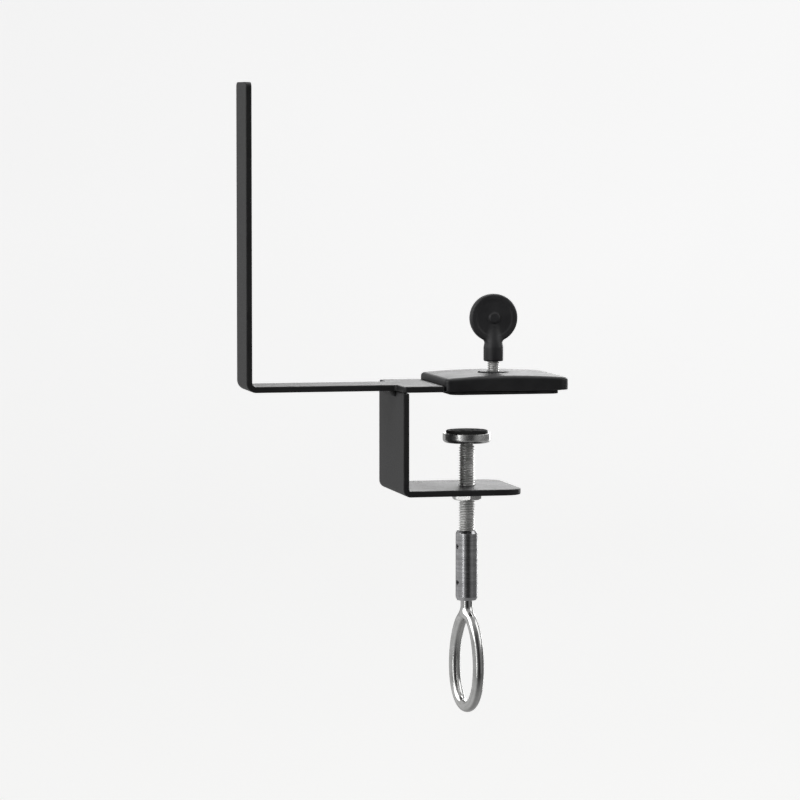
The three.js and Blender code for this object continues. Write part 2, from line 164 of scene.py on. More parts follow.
def skin(bm, rings):
    """Quads between rings of the same number of points."""
    for lower, upper in zip(rings, rings[1:]):
        count = len(lower)
        for index in range(count):
            after = (index + 1) % count
            bm.faces.new((lower[index], lower[after], upper[after], upper[index]))


def edge_profile(bottom, top, edge, steps=3):
    """(inset, z) pairs up a plate's side whose two edges are rounded."""
    quarter = [math.pi / 2 * step / steps for step in range(steps + 1)]
    lower = [(edge * (1 - math.cos(a)), bottom + edge * (1 - math.sin(a))) for a in reversed(quarter)]
    upper = [(edge * (1 - math.cos(a)), top - edge * (1 - math.sin(a))) for a in quarter]
    return lower + upper


def plate(outlines, side):
    """A level plate from an anticlockwise outline and clockwise holes. side is its (inset, z) profile. An
    outline may bring a profile of its own with as many points."""
    bm = bmesh.new()
    first = []
    last = []
    for outline, own in outlines:
        rings = []
        for inset, z in own or side:
            rings.append([bm.verts.new((p.x, p.y, z)) for p in offset(outline, inset)])
        skin(bm, rings)
        first.append(rings[0])
        last.append(rings[-1])
    for loops in (first, last):
        flat = [vert for loop in loops for vert in loop]
        for triangle in tessellate_polygon([[vert.co for vert in loop] for loop in loops]):
            bm.faces.new([flat[index] for index in triangle])
    return bm


def slice_across(bm, x):
    """Adds the edges where a plane square to X cuts a bmesh."""
    everything = bm.verts[:] + bm.edges[:] + bm.faces[:]
    bmesh.ops.bisect_plane(bm, geom=everything, plane_co=(x, 0, 0), plane_no=(1, 0, 0), dist=1e-5)


def bend_up(bm, start, inner_radius, top, cuts=10):
    """Bends a level strip up by a right angle, from x = start towards lower x."""
    neutral = inner_radius + SHEET / 2
    length = neutral * math.pi / 2
    centre_z = top + inner_radius
    for cut in range(cuts + 1):
        slice_across(bm, start - length * cut / cuts)
    for vert in bm.verts:
        beyond = start - vert.co.x
        if beyond <= 0:
            continue
        turn = min(beyond / neutral, math.pi / 2)
        radius = centre_z - vert.co.z
        vert.co.x = start - radius * math.sin(turn)
        vert.co.z = centre_z - radius * math.cos(turn) + max(0, beyond - length)


def bent_length(start, inner_radius, top, height):
    """The low x at which a strip ends before it is bent, for its bent end to stand at a height."""
    straight = height - (top + inner_radius)
    return start - (inner_radius + SHEET / 2) * math.pi / 2 - straight


def turned(corners, centre=(0, 0), segments=96, hollow=False, steps=5):
    """A piece turned about Z from (radius, z, rounding) corners. A solid starts and ends on the axis."""
    bm = bmesh.new()
    profile = rounded(corners, steps)
    rings = []
    for radius, z in profile:
        if radius < 1e-6:
            rings.append([bm.verts.new((centre[0], centre[1], z))])
            continue
        rings.append([bm.verts.new((p.x, p.y, z)) for p in circle(radius, centre, segments)])
    if hollow:
        rings.append(rings[0])
    for lower, upper in zip(rings, rings[1:]):
        if len(lower) == len(upper) > 1:
            skin(bm, [lower, upper])
            continue
        pole, rim = (lower[0], upper) if len(lower) == 1 else (upper[0], lower)
        for index, vert in enumerate(rim):
            bm.faces.new((pole, vert, rim[(index + 1) % len(rim)]))
    return bm


def cylinder(radius, low, high, centre=(0, 0), segments=96):
    """A plain round bar along Z."""
    return turned([(0, low, 0), (radius, low, 0), (radius, high, 0), (0, high, 0)], centre, segments)


def threaded(major, pitch, low, high, below, above, centre=(0, 0), segments=48):
    """A rod with a helical thread from z = low to z = high, each end chamfered. below and above are the
    (radius, z) points that carry its ends on to the axis."""
    depth = THREAD_DEPTH * pitch
    minor = major - depth
    end = minor - 0.1
    shape = [(0.0, minor), (0.14, minor), (0.3, major - depth * 0.45), (0.44, major - 0.02), (0.5, major)]
    shape += [(0.56, major), (0.62, major - 0.02), (0.76, major - depth * 0.45), (0.92, minor)]
    rows = int(math.ceil((high - low) / pitch)) + 2
    bm = bmesh.new()
    columns = []
    for column in range(segments):
        verts = []
        for row in range(rows):
            for share, radius in shape:
                z = low + pitch * (row - 1 + share + column / segments)
                z = min(max(z, low), high)
                radius = min(radius, end + (z - low) * 0.9, end + (high - z) * 0.9)
                turn = TAU * column / segments
                x = centre[0] + radius * math.cos(turn)
                y = centre[1] + radius * math.sin(turn)
                verts.append(bm.verts.new((x, y, z)))
        columns.append(verts)
    for column in range(segments):
        near = columns[column]
        far = columns[(column + 1) % segments]
        shift = len(shape) if column == segments - 1 else 0
        for index in range(len(near) - 1 - shift):
            bm.faces.new((near[index], far[index + shift], far[index + shift + 1], near[index + 1]))
    bmesh.ops.remove_doubles(bm, verts=bm.verts, dist=1e-4)
    bmesh.ops.dissolve_degenerate(bm, edges=bm.edges, dist=1e-4)

    def turn_of(vert):
        return math.atan2(vert.co.y - centre[1], vert.co.x - centre[0])

    for z, profile in ((low, below), (high, above)):
        ring = [vert for vert in bm.verts if vert.is_boundary and abs(vert.co.z - z) < 1e-3]
        ring.sort(key=turn_of)
        turns = [turn_of(vert) for vert in ring]
        for radius, height in profile:
            if radius == 0:
                pole = bm.verts.new((centre[0], centre[1], height))
                for index, vert in enumerate(ring):
                    bm.faces.new((vert, ring[(index + 1) % len(ring)], pole))
                continue
            spots = [(centre[0] + radius * math.cos(a), centre[1] + radius * math.sin(a)) for a in turns]
            following = [bm.verts.new((x, y, height)) for x, y in spots]
            skin(bm, [ring, following])
            ring = following
    return bm


def to_object(name, bm):
    """A bmesh as an object in the scene, with its faces turned outwards."""
    bmesh.ops.recalc_face_normals(bm, faces=bm.faces)
    mesh = bpy.data.meshes.new(name)
    bm.to_mesh(mesh)
    bm.free()
    obj = bpy.data.objects.new(name, mesh)
    scene.collection.objects.link(obj)
    return obj


def settle(obj):
    """Applies an object's modifiers to its mesh."""
    graph = bpy.context.evaluated_depsgraph_get()
    obj.data = bpy.data.meshes.new_from_object(obj.evaluated_get(graph))
    obj.modifiers.clear()
    return obj


def carve(obj, *tools, operation="DIFFERENCE"):
    """Cuts tools out of an object, or joins them to it, and removes them."""
    for tool in tools:
        modifier = obj.modifiers.new("Cut", "BOOLEAN")
        modifier.operation = operation
        modifier.solver = "EXACT"
        modifier.object = tool
    settle(obj)
    for tool in tools:
        bpy.data.objects.remove(tool)
    return obj


def rotate(bm, turn, axis, centre=(0, 0, 0)):
    """Turns a bmesh about an axis through a point."""
    bmesh.ops.rotate(bm, verts=bm.verts, cent=centre, matrix=Matrix.Rotation(turn, 3, axis))
    return bm


def blend_distance(first, second, reach):
    """The distance to two bodies joined by a fillet of about that reach."""
    share = np.clip(0.5 + 0.5 * (second - first) / reach, 0, 1)
    return second * (1 - share) + first * share - reach * share * (1 - share)


def sculpted(name, rough, distance, voxel=0.4, rounds=4):
    """A body remeshed from a rough one, with its points moved to the surface where distance is nought."""
    modifier = rough.modifiers.new("Remesh", "REMESH")
    modifier.mode = "VOXEL"
    modifier.voxel_size = voxel
    settle(rough)
    rough.name = name
    count = len(rough.data.vertices)
    points = np.zeros(count * 3)
    rough.data.vertices.foreach_get("co", points)
    points = points.reshape(-1, 3)
    step = 0.02
    for _ in range(rounds):
        slope = np.zeros_like(points)
        for axis in range(3):
            shift = np.zeros(3)
            shift[axis] = step
            slope[:, axis] = (distance(points + shift) - distance(points - shift)) / (2 * step)
        size = np.maximum(np.linalg.norm(slope, axis=1, keepdims=True), 0.3)
        points -= 0.9 * distance(points)[:, None] * slope / size**2
    rough.data.vertices.foreach_set("co", points.ravel())
    rough.data.update()
    return rough


def finish_piece(obj, body, material, nodes, angle=35, turn=0.0, even=True):
    """Turns a piece about Z, scales it to metres, shades it, paints it and puts it in place of CAD nodes.
    Edges sharper than the angle stay sharp. even keeps flat faces evenly shaded beside their roundings."""
    obj.data.transform(Matrix.Rotation(turn, 4, "Z") @ Matrix.Diagonal((MM, MM, MM, 1)))
    obj.data.shade_smooth()
    obj.data.set_sharp_from_angle(angle=math.radians(angle))
    if even:
        modifier = obj.modifiers.new("Even normals", "WEIGHTED_NORMAL")
        modifier.keep_sharp = True
    obj.data.materials.clear()
    obj.data.materials.append(material)
    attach(obj, body)
    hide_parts(*nodes)
    return obj


# Materials


class Paint:
    """A material under construction, with short calls for the nodes used here."""

    def __init__(self, name, colour, metallic, roughness):
        self.material = bpy.data.materials.new(name)
        self.material.use_nodes = True
        self.tree = self.material.node_tree
        self.shader = self.tree.nodes["Principled BSDF"]
        self.set(Base_Color=(*colour, 1), Metallic=metallic, Roughness=roughness)
        self.place = self.node("TexCoord").outputs["Object"]
        self.shape = self.node("NewGeometry")
        self.bumps = None

    def node(self, kind, inputs=None, **settings):
        made = self.tree.nodes.new("ShaderNode" + kind)
        for key, value in settings.items():
            setattr(made, key, value)
        for key, value in (inputs or {}).items():
            self.feed(made.inputs[key], value)
        return made

    def feed(self, socket, value):
        if isinstance(value, bpy.types.NodeSocket):
            self.tree.links.new(value, socket)
        else:
            socket.default_value = value

    def math(self, operation, first, second=0.0, clamp=False):
        made = self.node("Math", {0: first, 1: second}, operation=operation)
        made.use_clamp = clamp
        return made.outputs[0]

    def span(self, value, low, high, to_low=0.0, to_high=1.0, smooth=False):
        """A value's place between two bounds, given as a value between two others."""
        inputs = {"Value": value, "From Min": low, "From Max": high, "To Min": to_low, "To Max": to_high}
        kind = "SMOOTHSTEP" if smooth else "LINEAR"
        return self.node("MapRange", inputs, interpolation_type=kind).outputs["Result"]

    def mix(self, share, first, second):
        first = (*first, 1) if isinstance(first, tuple) else first
        second = (*second, 1) if isinstance(second, tuple) else second
        made = self.node("Mix", {0: share, 6: first, 7: second}, data_type="RGBA")
        return made.outputs[2]

    def noise(self, size, detail=2.0, stretch=None, roughness=0.5):
        """Noise whose features are about size millimetres across, or longer along a stretched axis."""
        place = self.place
        if stretch:
            place = self.node("Mapping", {"Vector": place, "Scale": stretch}).outputs["Vector"]
        inputs = {"Vector": place, "Scale": 1000 / size, "Detail": detail, "Roughness": roughness}
        return self.node("TexNoise", inputs).outputs["Fac"]

    def cells(self, size):
        """Cells about size millimetres across, from 0 at their middles."""
        inputs = {"Vector": self.place, "Scale": 1000 / size}
        return self.node("TexVoronoi", inputs).outputs["Distance"]

    def edges(self, width, low=0.01, high=0.16):
        """1 along the piece's sharp edges, fading to 0 within width millimetres."""
        soft = self.node("Bevel", {"Radius": width * MM}, samples=6).outputs["Normal"]
        inputs = {0: soft, 1: self.shape.outputs["Normal"]}
        match = self.node("VectorMath", inputs, operation="DOT_PRODUCT").outputs["Value"]
        return self.span(self.math("SUBTRACT", 1.0, match), low, high)

    def upward(self):
        """How much the surface faces up, from 0 to 1."""
        parts = self.node("SeparateXYZ", {0: self.shape.outputs["Normal"]})
        return self.math("MAXIMUM", parts.outputs["Z"], 0.0)

    def off_axis(self, centre=(0, 0)):
        """The distance from an upright axis, in millimetres."""
        parts = self.node("SeparateXYZ", {0: self.place})
        across = self.math("SUBTRACT", parts.outputs["X"], centre[0] * MM)
        along = self.math("SUBTRACT", parts.outputs["Y"], centre[1] * MM)
        across = self.math("MULTIPLY", across, across)
        along = self.math("MULTIPLY", along, along)
        return self.math("DIVIDE", self.math("SQRT", self.math("ADD", across, along)), MM)

    def bump(self, height, depth):
        """Adds relief: height 0 to 1 stands for depth millimetres."""
        inputs = {"Height": height, "Distance": depth * MM, "Strength": 1.0}
        if self.bumps:
            inputs["Normal"] = self.bumps
        self.bumps = self.node("Bump", inputs).outputs["Normal"]
        self.feed(self.shader.inputs["Normal"], self.bumps)

    def set(self, **sockets):
        """Sets the shader's sockets, whose spaces are written as underscores."""
        for name, value in sockets.items():
            self.feed(self.shader.inputs[name.replace("_", " ")], value)


def powder_coat():
    """Fine black powder coat, rubbed bare in places along its edges."""
    paint = Paint("Powder coat", (0.02, 0.02, 0.021), 0, 0.42)
    cloud = paint.noise(14, 4)
    fine = paint.noise(0.55, 3)
    rub = paint.math("ADD", paint.noise(9, 3), paint.math("MULTIPLY", paint.noise(1.2, 4), 0.25))
    worn = paint.math("MULTIPLY", paint.edges(0.8, 0.01, 0.12), paint.span(rub, 0.7, 0.8))
    scratch = paint.span(paint.noise(1.6, 6, (1, 1, 0.07), 0.7), 0.68, 0.74)
    dust = paint.math("MULTIPLY", paint.upward(), paint.span(paint.noise(1.1, 6), 0.45, 0.8, 0.0, 0.03))
    coat = paint.mix(paint.span(cloud, 0.35, 0.65), (0.0125, 0.0125, 0.013), (0.0175, 0.0175, 0.018))
    coat = paint.mix(paint.math("MULTIPLY", scratch, 0.12), coat, (0.12, 0.12, 0.12))
    coat = paint.mix(dust, coat, (0.3, 0.29, 0.27))
    bare = paint.mix(paint.math("MULTIPLY", worn, 0.7), coat, (0.3, 0.295, 0.29))
    rough = paint.span(cloud, 0.3, 0.7, 0.44, 0.5)
    rough = paint.math("ADD", rough, paint.span(fine, 0.3, 0.7, -0.06, 0.06))
    paint.set(Base_Color=bare, Roughness=rough, Metallic=paint.math("MULTIPLY", worn, 0.7))
    paint.set(Specular_IOR_Level=0.35)
    paint.bump(paint.noise(1.2, 2), 0.09)
    paint.bump(fine, 0.025)
    return paint.material


def moulded_plastic(name, scuffs, tone):
    """Black plastic with the fine grain of its mould."""
    paint = Paint(name, (0.014, 0.014, 0.015), 0, 0.45)
    cloud = paint.noise(11, 4)
    wear = paint.math("MULTIPLY", paint.edges(0.7), paint.span(paint.noise(2.4, 5), 0.42, 0.66))
    dust = paint.math("MULTIPLY", paint.upward(), paint.span(paint.noise(0.9, 6), 0.45, 0.8, 0.0, scuffs))
    deep = (0.011 * tone, 0.011 * tone, 0.012 * tone)
    pale = (0.018 * tone, 0.018 * tone, 0.019 * tone)
    colour = paint.mix(paint.span(cloud, 0.35, 0.65), deep, pale)
    colour = paint.mix(paint.math("MULTIPLY", wear, 0.5), colour, (0.06, 0.06, 0.062))
    colour = paint.mix(dust, colour, (0.3, 0.29, 0.27))
    rough = paint.span(cloud, 0.3, 0.7, 0.43, 0.5)
    rough = paint.math("SUBTRACT", rough, paint.math("MULTIPLY", wear, 0.14))
    paint.set(Base_Color=colour, Roughness=rough, Specular_IOR_Level=0.4)
    paint.bump(paint.cells(0.45), 0.03)
    paint.bump(paint.noise(0.25, 2), 0.01)
    return paint.material


def rubber():
    """Dull rubber with dust in its pores."""
    paint = Paint("Rubber", (0.02, 0.02, 0.02), 0, 0.85)
    bloom = paint.span(paint.noise(6, 5), 0.4, 0.7)
    colour = paint.mix(bloom, (0.018, 0.018, 0.018), (0.05, 0.048, 0.045))
    wear = paint.math("MULTIPLY", paint.edges(0.5), 0.35)
    colour = paint.mix(wear, colour, (0.1, 0.098, 0.095))
    paint.set(Base_Color=colour, Roughness=paint.span(paint.noise(2, 3), 0.3, 0.7, 0.74, 0.92))
    paint.bump(paint.noise(0.35, 3), 0.03)
    return paint.material


def bright_zinc(name, tone=1.0, roughness=0.26, thread=None, axis=(0, 0)):
    """Bright zinc plate. The valleys of a thread about an axis are darkened with grease and painted shade,
    and made rougher.
    """
    paint = Paint(name, (0.62, 0.62, 0.6), 1, 0.3)
    cloud = paint.noise(7, 4)
    fine = paint.noise(0.7, 4, roughness=0.65)
    light = tuple(tone * part for part in (0.8, 0.8, 0.79))
    dull = tuple(tone * part for part in (0.6, 0.6, 0.59))
    colour = paint.mix(paint.span(cloud, 0.35, 0.65), dull, light)
    stain = paint.span(paint.noise(2.8, 6, roughness=0.7), 0.6, 0.74)
    colour = paint.mix(paint.math("MULTIPLY", stain, 0.4), colour, (0.24, 0.23, 0.21))
    rough = paint.span(cloud, 0.3, 0.7, roughness - 0.05, roughness + 0.05)
    rough = paint.math("ADD", rough, paint.span(fine, 0.3, 0.7, -0.04, 0.05))
    rough = paint.math("ADD", rough, paint.math("MULTIPLY", stain, 0.15))
    if thread:
        outer, pitch = thread
        depth = THREAD_DEPTH * pitch
        radius = paint.off_axis(axis)
        valley = paint.span(radius, outer - depth, outer - 0.25 * depth, 1.0, 0.0, smooth=True)
        # Painted shade with some grease: the thread's valleys are darkened where a real thread's hollows
        # fall into shade.
        grease_and_painted_shade = paint.math("MULTIPLY", valley, paint.span(paint.noise(4, 4), 0.3, 0.6, 0.2, 0.6))
        colour = paint.mix(grease_and_painted_shade, colour, (0.3, 0.295, 0.285))
        rough = paint.math("ADD", rough, paint.math("MULTIPLY", valley, 0.25))
        paint.set(Metallic=0.7)
    paint.set(Base_Color=colour, Roughness=rough)
    paint.bump(fine, 0.006)
    paint.bump(paint.noise(2.5, 3), 0.015)
    return paint.material


def turned_steel():
    """Darker bright steel with the fine lines of the lathe round it."""
    paint = Paint("Turned steel", (0.4, 0.4, 0.41), 1, 0.25)
    lines = paint.noise(0.16, 3, (0.02, 0.02, 1))
    bands = paint.noise(1.4, 3, (0.05, 0.05, 1))
    smear = paint.noise(5, 5, roughness=0.6)
    colour = paint.mix(paint.span(bands, 0.35, 0.65), (0.36, 0.36, 0.37), (0.5, 0.5, 0.51))
    stain = paint.span(smear, 0.56, 0.72)
    colour = paint.mix(paint.math("MULTIPLY", stain, 0.35), colour, (0.2, 0.19, 0.18))
    worn = paint.math("MULTIPLY", paint.edges(0.4), 0.5)
    colour = paint.mix(worn, colour, (0.7, 0.7, 0.7))
    rough = paint.math("ADD", paint.span(lines, 0.3, 0.7, 0.17, 0.29), paint.math("MULTIPLY", stain, 0.14))
    paint.set(Base_Color=colour, Roughness=rough, Anisotropic=0.35)
    paint.bump(lines, 0.012)
    return paint.material


POWDER = powder_coat()
COVER = moulded_plastic("Cover plastic", 0.03, 1.0)
FINGER = moulded_plastic("Finger head plastic", 0.02, 2.0)
RUBBER = rubber()
ZINC = bright_zinc("Zinc plate")
CLAMP_THREAD = bright_zinc("Clamp screw zinc", 1.2, 0.32, M8)
FINGER_THREAD = bright_zinc("Finger screw zinc", 1.2, 0.32, M6, (ADJUSTER_X, 0))
LOOP_ZINC = bright_zinc("Loop zinc", 0.85, 0.15)
STEEL = turned_steel()


# Upper frame


def rectangle(x0, x1, half, low_radius, high_radius, steps=8):
    """A rectangle about the X axis, with a corner radius for each end."""
    near = [(x0, -half, low_radius), (x1, -half, high_radius)]
    far = [(x1, half, high_radius), (x0, half, low_radius)]
    return rounded(near + far, steps)


CAP_WALL = 2.2
CAP_SCREW_X = (CAP_LOW.x + 8, CAP_HIGH.x - 8)
CAP_SCREW_Y = (-18.5, 18.5)
CAP_SCREW_PLACES = [(x, y) for x in CAP_SCREW_X for y in CAP_SCREW_Y]
CAP_SCREW_HOLE = 1.8


def post_arm_plate():
    """The strip, cut flat with its holes and then bent up into the post."""
    start = STRIP_LOW.x + STRIP_BEND + SHEET
    end = bent_length(start, STRIP_BEND, PLATE_TOP, STRIP_HIGH.z)
    arm = STRIP_WIDTH / 2
    shoulder = STRIP_HIGH.y
    tongue = shoulder - CAP_WALL - 0.3
    shoulder_x = BRACKET_LOW.x
    tongue_x = CAP_LOW.x - 0.3
    inner = STRIP_HIGH.x
    half = [
        (end, -arm, 2.5),
        (shoulder_x, -arm, 1.5),
        (shoulder_x, -shoulder, 2),
        (tongue_x, -shoulder, 1),
        (tongue_x, -tongue, 0.6),
        (inner, -tongue, 2.8),
    ]
    outline = rounded(half + [(x, -y, radius) for x, y, radius in reversed(half)])
    side = edge_profile(PLATE_BOTTOM, PLATE_TOP, EDGE_ROUNDING)
    foot = circle(7.1, (ADJUSTER_X, 0), 72, clockwise=True)
    holes = [(outline, None), (foot, None)]
    countersink = [(1.5, PLATE_BOTTOM), (1.4, PLATE_BOTTOM + 0.5), (0, PLATE_BOTTOM + 2.1), (0, PLATE_TOP)]
    for place in CAP_SCREW_PLACES:
        holes.append((circle(CAP_SCREW_HOLE, place, 40, clockwise=True), countersink))
    bm = plate(holes, side)
    bend_up(bm, start, STRIP_BEND, PLATE_TOP)
    piece = to_object("Post_arm_and_jaw_plate", bm)
    finish_piece(piece, "frame", POWDER, ["post_arm_plate"])


def jaw_bracket():
    """The angle, cut flat and then bent up into the web."""
    start = BRACKET_LOW.x + BRACKET_BEND + SHEET
    top = BRACKET_LOW.z + SHEET
    end = bent_length(start, BRACKET_BEND, top, BRACKET_HIGH.z)
    outline = rectangle(end, BRACKET_HIGH.x, BRACKET_HIGH.y, 0.8, 9, 12)
    hole = circle(4.3, (0, 0), 64, clockwise=True)
    side = edge_profile(BRACKET_LOW.z, top, EDGE_ROUNDING)
    bm = plate([(outline, None), (hole, None)], side)
    bend_up(bm, start, BRACKET_BEND, top, 8)
    piece = to_object("Jaw_bracket", bm)
    finish_piece(piece, "frame", POWDER, ["jaw_bracket"])


def web_weld_bead():
    """A fillet weld whose face is a row of overlapping ripples."""
    corner_x = WELD_HIGH.x
    corner_z = WELD_HIGH.z
    leg = WELD_HIGH.x - WELD_LOW.x
    length = WELD_HIGH.y - WELD_LOW.y
    across = 14
    along = 150
    ripple_pitch = 1.5
    bm = bmesh.new()
    rings = []
    for row in range(along + 1):
        place = row / along
        end = min(place, 1 - place) * length / (leg * 0.7)
        taper = math.sqrt(max(0.0, 1 - (1 - min(1.0, end)) ** 2)) * 0.97 + 0.03
        ring = [bm.verts.new((corner_x, WELD_LOW.y + place * length, corner_z))]
        for column in range(across + 1):
            share = column / across
            turn = math.pi / 2 * share
            swell = math.sin(math.pi * share)
            phase = (place * length + 0.9 * swell) / ripple_pitch % 1.0
            ripple = 0.86 + 0.12 * phase * (2 - phase) * swell**0.5
            waver = 0.05 * math.sin(place * 23 + share * 3) * swell
            reach = leg * taper * (ripple + waver)
            flat = 1 / (abs(math.cos(turn)) + abs(math.sin(turn)))
            bulge = flat + (1 - flat) * 0.35
            x = corner_x - reach * bulge * math.cos(turn)
            z = corner_z - reach * bulge * math.sin(turn)
            ring.append(bm.verts.new((x, WELD_LOW.y + place * length, z)))
        rings.append(ring)
    skin(bm, rings)
    bm.faces.new(rings[0])
    bm.faces.new(rings[-1])
    piece = to_object("Web_weld_bead", bm)
    finish_piece(piece, "frame", POWDER, ["web_weld_bead"], angle=50, even=False)


def nut(flat, bottom, top, bolt_radius, sides, centre=(0, 0), per_side=16):
    """A nut with a chamfered hole, and an underside whose corners are turned off to a cone."""
    bm = bmesh.new()
    hole = bolt_radius + NUT_CLEARANCE
    count = sides * per_side
    phase = math.pi / sides
    turned_radius = flat * 0.955
    slope = math.tan(math.radians(30))

    def ring(radius_at, z_at):
        verts = []
        for index in range(count):
            turn = phase + TAU * index / count
            corner = flat / math.cos(((index % per_side) / per_side - 0.5) * TAU / sides)
            radius = radius_at(corner)
            x = centre[0] + radius * math.cos(turn)
            y = centre[1] + radius * math.sin(turn)
            verts.append(bm.verts.new((x, y, z_at(corner))))
        return verts

    rings = [
        ring(lambda corner: hole, lambda corner: bottom + 0.4),
        ring(lambda corner: hole + 0.4, lambda corner: bottom),
        ring(lambda corner: turned_radius, lambda corner: bottom),
        ring(lambda corner: corner, lambda corner: bottom + (corner - turned_radius) * slope),
        ring(lambda corner: corner, lambda corner: top - 0.15),
        ring(lambda corner: corner - 0.15, lambda corner: top),
        ring(lambda corner: hole + 0.4, lambda corner: top),
        ring(lambda corner: hole, lambda corner: top - 0.4),
    ]
    skin(bm, rings + rings[:1])
    return bm


def jaw_cap():
    """The moulded cover: a rounded, gently arched top, a collar round the finger screw, hollow below."""
    bottom = CAP_LOW.z
    top = CAP_HIGH.z
    arch_start = bottom + 0.9
    crown = 1.3
    rounding = 2
    outline = rectangle(CAP_LOW.x, CAP_HIGH.x, CAP_HIGH.y, 2.5, 5)
    quarter = [math.pi / 2 * step / 8 for step in range(9)]
    side = [(0.25, bottom), (0.07, bottom + 0.07), (0, bottom + 0.25), (0, arch_start)]
    side += [(rounding * (1 - math.cos(a)), top - rounding * (1 - math.sin(a))) for a in quarter]
    bm = plate([(outline, None)], side)
    middle = (CAP_LOW.x + CAP_HIGH.x) / 2
    half = (CAP_HIGH.x - CAP_LOW.x) / 2
    cuts = 28
    for cut in range(1, cuts):
        slice_across(bm, CAP_LOW.x + 2 * half * cut / cuts)
    for vert in bm.verts:
        drop = crown * ((vert.co.x - middle) / half) ** 2
        vert.co.z -= drop * max(0.0, (vert.co.z - arch_start) / (top - arch_start))
    cover = to_object("Jaw_cover", bm)
    collar_top = top + 0.65
    collar = [(0, top - 2, 0), (8.6, top - 2, 0), (8.3, top - 0.5, 0)]
    collar += [(7.4, collar_top, 0.5), (0, collar_top, 0)]
    carve(cover, to_object("Collar", turned(collar, (ADJUSTER_X, 0))), operation="UNION")
    pocket = rectangle(CAP_LOW.x - 1, CAP_HIGH.x - CAP_WALL, CAP_HIGH.y - CAP_WALL, 0, 2.8)
    pocket_top = PLATE_TOP + 0.3
    tools = [to_object("Pocket", plate([(pocket, None)], [(0, bottom - 1), (0, pocket_top)]))]
    square = rectangle(ADJUSTER_X - 5.3, ADJUSTER_X + 5.3, 5.3, 0, 0)
    tools.append(to_object("Nut_pocket", plate([(square, None)], [(0, PLATE_TOP), (0, pocket_top + 3.3)])))
    bore = [(0, PLATE_TOP, 0), (3.3, PLATE_TOP, 0), (3.3, collar_top - 0.4, 0)]
    bore += [(4.2, collar_top + 0.5, 0), (0, collar_top + 0.5, 0)]
    tools.append(to_object("Bore", turned(bore, (ADJUSTER_X, 0), 48)))
    for place in CAP_SCREW_PLACES:
        tools.append(to_object("Screw_hole", cylinder(CAP_SCREW_HOLE, PLATE_TOP, top - 1.6, place, 24)))
    carve(cover, *tools)
    finish_piece(cover, "frame", COVER, ["jaw_cap"], angle=30)


def jaw_pad():
    """The rubber pad under the jaw plate, grooved across on its lower face."""
    outline = rectangle(PAD_LOW.x, PAD_HIGH.x, PAD_HIGH.y, 5, 5)
    holes = [(outline, None), (circle(7.8, (ADJUSTER_X, 0), 72, clockwise=True), None)]
    holes += [(circle(3.5, place, 40, clockwise=True), None) for place in CAP_SCREW_PLACES]
    pad = to_object("Jaw_pad", plate(holes, edge_profile(PAD_LOW.z, PAD_HIGH.z, 0.3)))
    pitch = 3.0
    count = int((PAD_HIGH.x - PAD_LOW.x) / pitch)
    first = (PAD_LOW.x + PAD_HIGH.x) / 2 - pitch * (count - 1) / 2
    bm = bmesh.new()
    groove = [(-0.65, -1), (-0.65, 0.05), (-0.35, 0.5), (0.35, 0.5), (0.65, 0.05), (0.65, -1)]
    for index in range(count):
        x = first + pitch * index
        near = [bm.verts.new((x + across, PAD_LOW.y + 2, z)) for across, z in groove]
        far = [bm.verts.new((x + across, PAD_HIGH.y - 2, z)) for across, z in groove]
        skin(bm, [near, far])
        bm.faces.new(near)
        bm.faces.new(far)
    # The grooves stop short of each hole
    lands = [to_object("Land", cylinder(9.2, -2, 2, (ADJUSTER_X, 0)))]
    for place in CAP_SCREW_PLACES:
        lands.append(to_object("Land", cylinder(4.9, -2, 2, place, 48)))
    carve(pad, carve(to_object("Grooves", bm), *lands))
    finish_piece(pad, "frame", RUBBER, ["jaw_pad"])


def recess_bar(bottom, turn):
    """One of the two tapered bars that make a screw's cross recess."""
    bm = bmesh.new()
    for vert in bmesh.ops.create_cube(bm, size=1)["verts"]:
        deep = vert.co.z > 0
        vert.co.x *= 1.9 if deep else 3.3
        vert.co.y *= 0.5 if deep else 0.8
        vert.co.z = bottom + (1.1 if deep else -0.3)
    return to_object("Recess_bar", rotate(bm, turn, "Z"))


def cap_screws():
    """Countersunk screws, put in from below, whose heads lie in the jaw plate."""
    low, high = box("cap_screw_1")
    head = high.x - (low.x + high.x) / 2
    below = [(1.5, low.z + 1.6), (head, low.z + 0.2), (head - 0.15, low.z), (0, low.z)]
    above = [(0.7, high.z), (0, high.z)]
    bm = threaded(*M3, low.z + 1.9, high.z - 0.1, below, above, segments=32)
    master = to_object("Cover_screw_master", bm)
    carve(master, recess_bar(low.z, 0), recess_bar(low.z, math.pi / 2))
    for index, (x, y) in enumerate(CAP_SCREW_PLACES):
        screw = bpy.data.objects.new(f"Cover_screw_{index + 1}", master.data.copy())
        scene.collection.objects.link(screw)
        turn = Matrix.Rotation(0.7 + 1.9 * index, 4, "Z")
        screw.data.transform(Matrix.Translation((x, y, 0)) @ turn)
        finish_piece(screw, "frame", ZINC, [f"cap_screw_{index + 1}"], angle=25)
    bpy.data.objects.remove(master)


def weld_tack(turn):
    """A blob of weld in the corner between one of the hexagonal nut's flats and the lower jaw."""
    reach = 1.7
    half_length = 2.6
    drop = 1.5
    bm = bmesh.new()
    bmesh.ops.create_icosphere(bm, subdivisions=4, radius=1)
    for vert in bm.verts:
        vert.co.x = HEX_NUT_FLAT + reach * vert.co.x
        vert.co.y *= half_length
        vert.co.z = min(NUT_HIGH.z - 0.3 + drop * vert.co.z, BRACKET_LOW.z)
    return to_object("Tack", rotate(bm, turn, "Z"))


